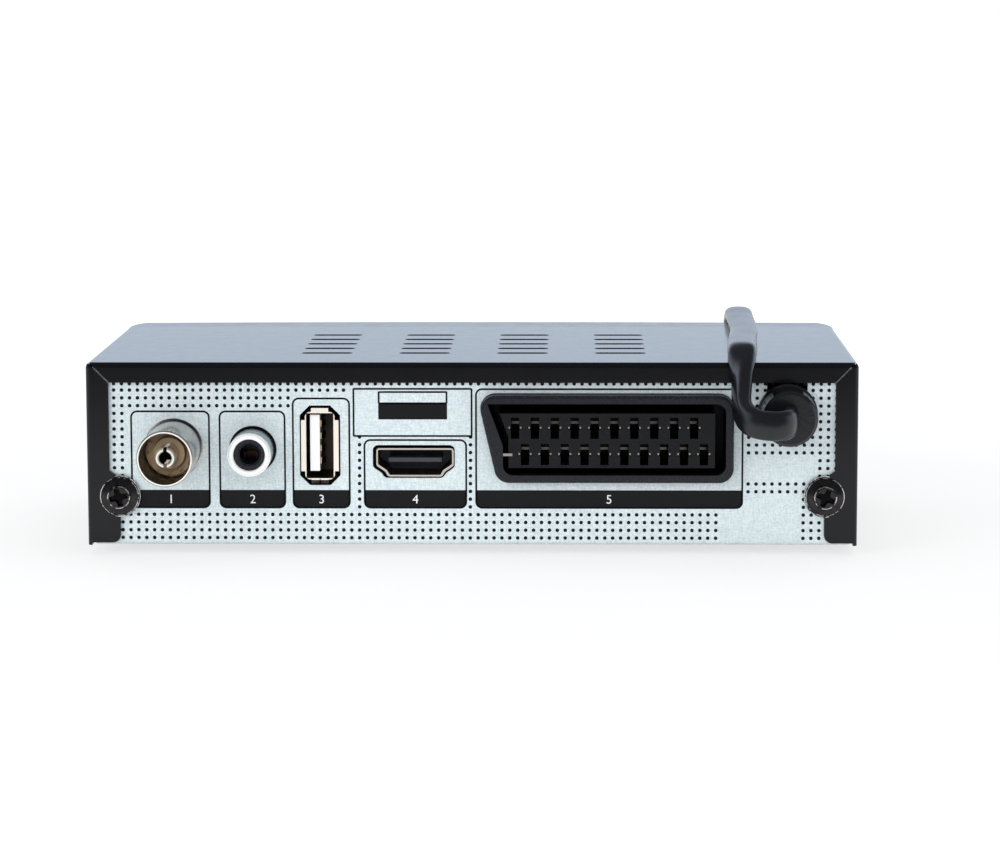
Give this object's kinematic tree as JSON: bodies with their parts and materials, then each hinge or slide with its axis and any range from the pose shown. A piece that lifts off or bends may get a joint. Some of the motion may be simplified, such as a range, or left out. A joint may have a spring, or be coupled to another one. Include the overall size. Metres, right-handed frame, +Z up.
{
  "type": "set-top tv receiver",
  "caption": "Compact set-top TV receiver: folded steel case, moulded front with sprung buttons, aerial, phono, USB, HDMI and SCART sockets, and a fixed flat mains lead.",
  "frame": {"origin": "on the surface it stands on, midway between the sides and midway between the front moulding's foremost point and the aerial socket's rim", "axes": "+Z up, front facing -Y, sockets facing +Y, +X towards the aerial socket's side"},
  "size_m": [0.1484, 0.1976, 0.0442],
  "materials": {
    "black_paint": "semi-gloss baked paint",
    "zinc_steel": "fine-grained zinc-coated sheet",
    "black_abs": "glossy moulded front",
    "smoked_window": "smoked clear plate",
    "foot_rubber": "matt",
    "black_screw": "black zinc",
    "plain_screw": "bright zinc",
    "circuit_board": "solder-masked glass laminate",
    "black_part": "moulded",
    "lamp_lens": "clear tinted",
    "ribbon": "flexible",
    "heat_sink_metal": "extruded",
    "bright_metal": "bright nickel",
    "contact_metal": "plated",
    "tan_insulator": "moulded",
    "white_plastic": "moulded",
    "dark_tongue": "moulded",
    "transformer_yellow": "taped ferrite",
    "choke_green": "coated ferrite",
    "fuse_glass": "glass with metal caps",
    "cord_black": "satin flexible sheath"
  },
  "bodies": {
    "case": {"top_cover": "black_paint", "base_pan": "zinc_steel", "foot_rear_left": "foot_rubber", "foot_rear_right": "foot_rubber", "foot_front_left": "foot_rubber", "foot_front_right": "foot_rubber", "cover_screw_left": "black_screw", "cover_screw_right": "black_screw", "board_screws": "plain_screw", "front_panel": "black_abs", "display_window": "smoked_window", "front_board": "circuit_board", "front_board_screws": "plain_screw", "key_switches": "black_part", "number_display": "lamp_lens", "remote_receiver": "black_part", "standby_lamp": "lamp_lens", "ribbon_cable": "ribbon", "main_board": "circuit_board", "power_board": "circuit_board", "processor": "black_part", "heat_sink": "heat_sink_metal", "memory_chips": "black_part", "crystal": "bright_metal", "board_capacitors": "black_part", "transformer": "transformer_yellow", "bulk_capacitor": "black_part", "line_choke": "choke_green", "fuse": "fuse_glass", "mains_header": "white_plastic", "tuner_can": "bright_metal", "antenna_barrel": "bright_metal", "antenna_insulator": "tan_insulator", "antenna_contact": "bright_metal", "coax_core": "black_part", "coax_barrel": "bright_metal", "coax_contact": "contact_metal", "usb_shell": "bright_metal", "usb_tongue": "white_plastic", "usb_contacts": "contact_metal", "hdmi_shell": "bright_metal", "hdmi_tongue": "dark_tongue", "hdmi_contacts": "contact_metal", "scart_housing": "black_part", "scart_contacts": "contact_metal", "strain_relief": "cord_black", "mains_cord": "cord_black", "cord_coil": "cord_black", "plug_body": "cord_black", "plug_pins": "bright_metal", "mains_cores": "cord_black"},
    "power_button": {"power_button": "black_abs"},
    "channel_up_button": {"channel_up_button": "black_abs"},
    "channel_down_button": {"channel_down_button": "black_abs"}
  },
  "joints": [
    {"name": "power_press", "type": "slide", "parent": "case", "child": "power_button", "axis": [0, 1, 0], "range_m": [0, 0.0005], "stiffness_N_per_m": 800},
    {"name": "channel_up_press", "type": "slide", "parent": "case", "child": "channel_up_button", "axis": [0, 1, 0], "range_m": [0, 0.0005], "stiffness_N_per_m": 800},
    {"name": "channel_down_press", "type": "slide", "parent": "case", "child": "channel_down_button", "axis": [0, 1, 0], "range_m": [0, 0.0005], "stiffness_N_per_m": 800}
  ]
}
